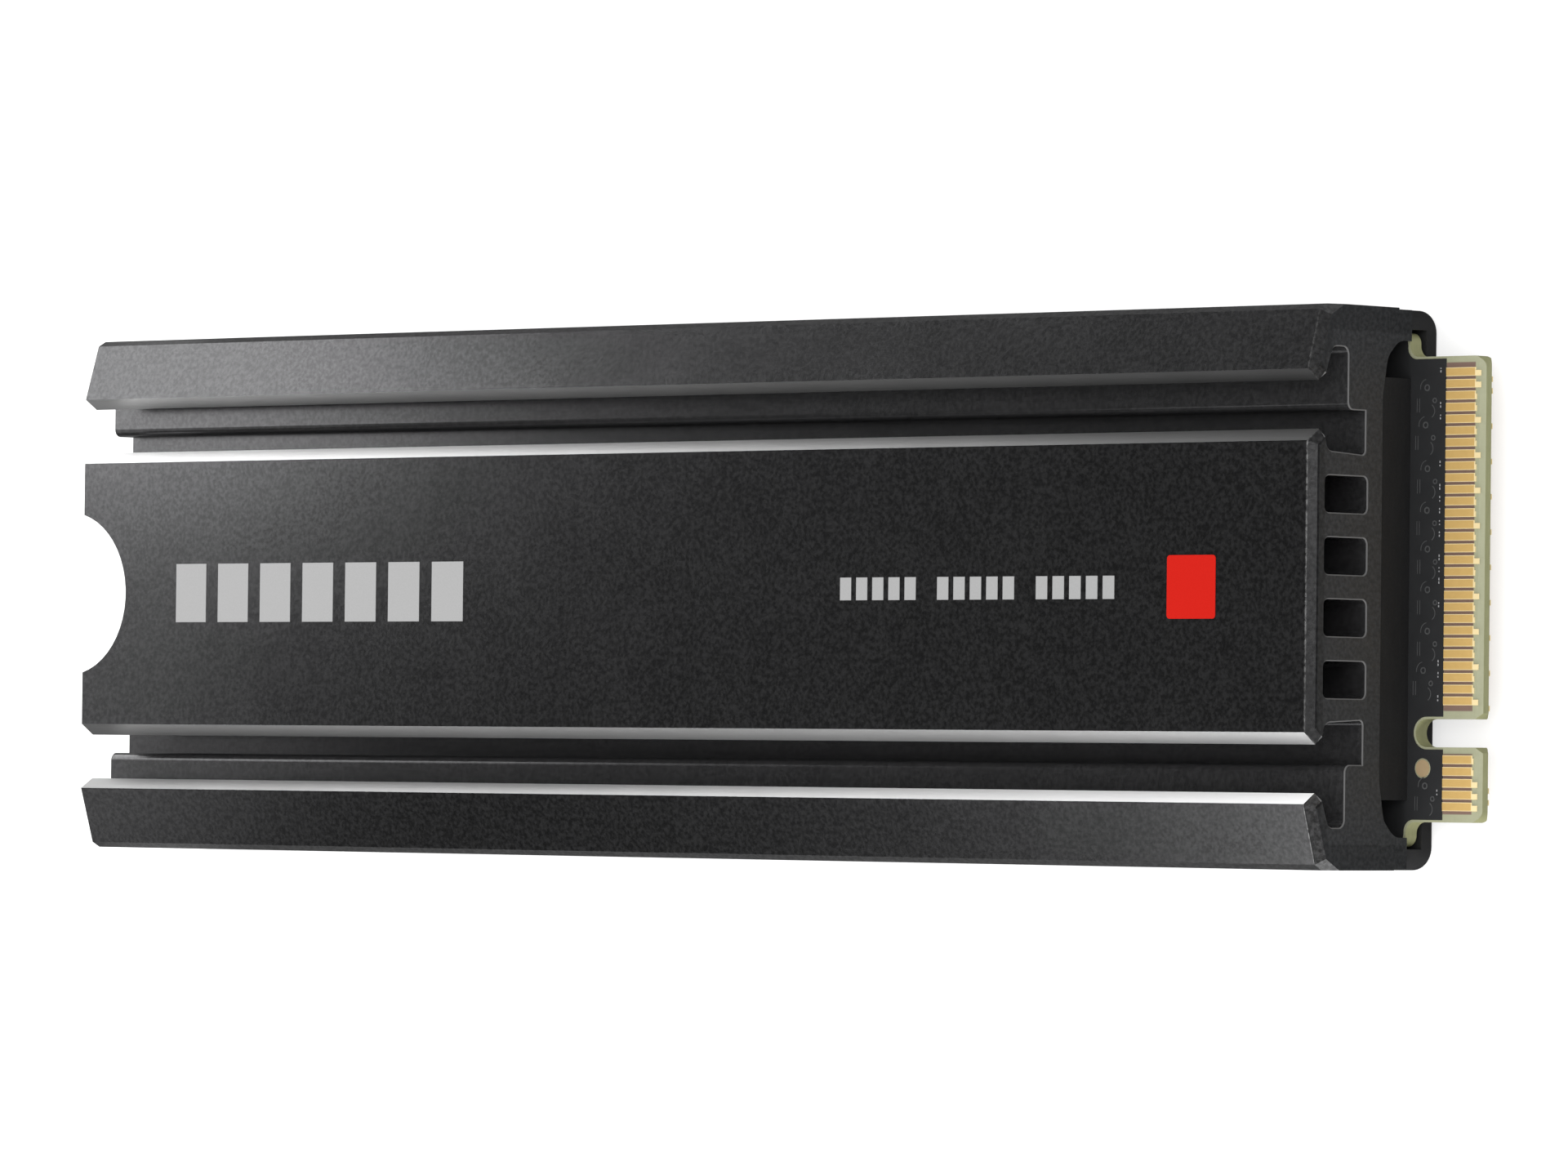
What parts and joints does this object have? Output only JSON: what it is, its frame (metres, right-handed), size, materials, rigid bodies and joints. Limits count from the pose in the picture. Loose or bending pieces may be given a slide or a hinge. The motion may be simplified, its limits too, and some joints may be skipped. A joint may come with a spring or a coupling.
{
  "type": "solid state drive",
  "caption": "Slim black solid state drive: a bare circuit board with a gold edge connector between a grooved aluminium heatsink and a shallow rear cover, with a round screw notch.",
  "frame": {"origin": "under the middle of the drive, on the rear cover's outer face", "axes": "+X along the drive towards the edge connector, +Y across it, +Z out of the heatsink's flat top"},
  "size_m": [0.08, 0.024, 0.0083],
  "materials": {
    "anodised_aluminium": "black anodised, fine blasted grain, satin",
    "coated_cover": "black coated, smooth satin",
    "label_film": null,
    "thermal_pad": "soft matt filler",
    "laminate": "bare glass-epoxy laminate",
    "solder_mask": "thin black lacquer, semi-gloss",
    "gold_plating": "gold plated, satin",
    "bare_copper": "dull plated copper",
    "mould_compound": "matt moulded epoxy",
    "package_substrate": "green-black laminate",
    "nickel": "satin nickel",
    "solder": "satin solder",
    "capacitor_ceramic": "unglazed tan ceramic",
    "dark_ceramic": "dark grey ceramic",
    "tinned_ends": "satin tin",
    "grey_ink": "matt light grey ink",
    "red_ink": "matt red ink"
  },
  "bodies": {
    "root": {"top_heatsink": "anodised_aluminium", "rear_cover": "coated_cover", "rear_label": "label_film", "front_thermal_pad": "thermal_pad", "rear_thermal_pad": "thermal_pad", "circuit_board": "laminate", "front_solder_mask": "solder_mask", "rear_solder_mask": "solder_mask", "front_edge_contacts": "gold_plating", "rear_edge_contacts": "gold_plating", "screw_ground_rings": "gold_plating", "round_probe_pads": "bare_copper", "controller_base": "package_substrate", "controller_lid": "nickel", "controller_solder_balls": "solder", "memory_package": "mould_compound", "memory_solder_balls": "solder", "near_flash_package": "mould_compound", "far_flash_package": "mould_compound", "near_flash_solder_balls": "solder", "far_flash_solder_balls": "solder", "power_chip": "mould_compound", "power_chip_leads": "tinned_ends", "power_inductor_bodies": "dark_ceramic", "power_inductor_terminals": "tinned_ends", "regulator_chips": "mould_compound", "bulk_capacitor_bodies": "capacitor_ceramic", "bulk_capacitor_terminals": "tinned_ends", "ceramic_capacitor_bodies": "capacitor_ceramic", "ceramic_capacitor_terminals": "tinned_ends", "resistor_bodies": "dark_ceramic", "resistor_terminals": "tinned_ends", "coupling_capacitor_bodies": "capacitor_ceramic", "coupling_capacitor_terminals": "tinned_ends", "crystal_base": "dark_ceramic", "crystal_lid": "nickel", "temperature_sensor": "mould_compound", "printed_bars": "grey_ink", "printed_dashes": "grey_ink", "printed_square": "red_ink"}
  },
  "joints": []
}
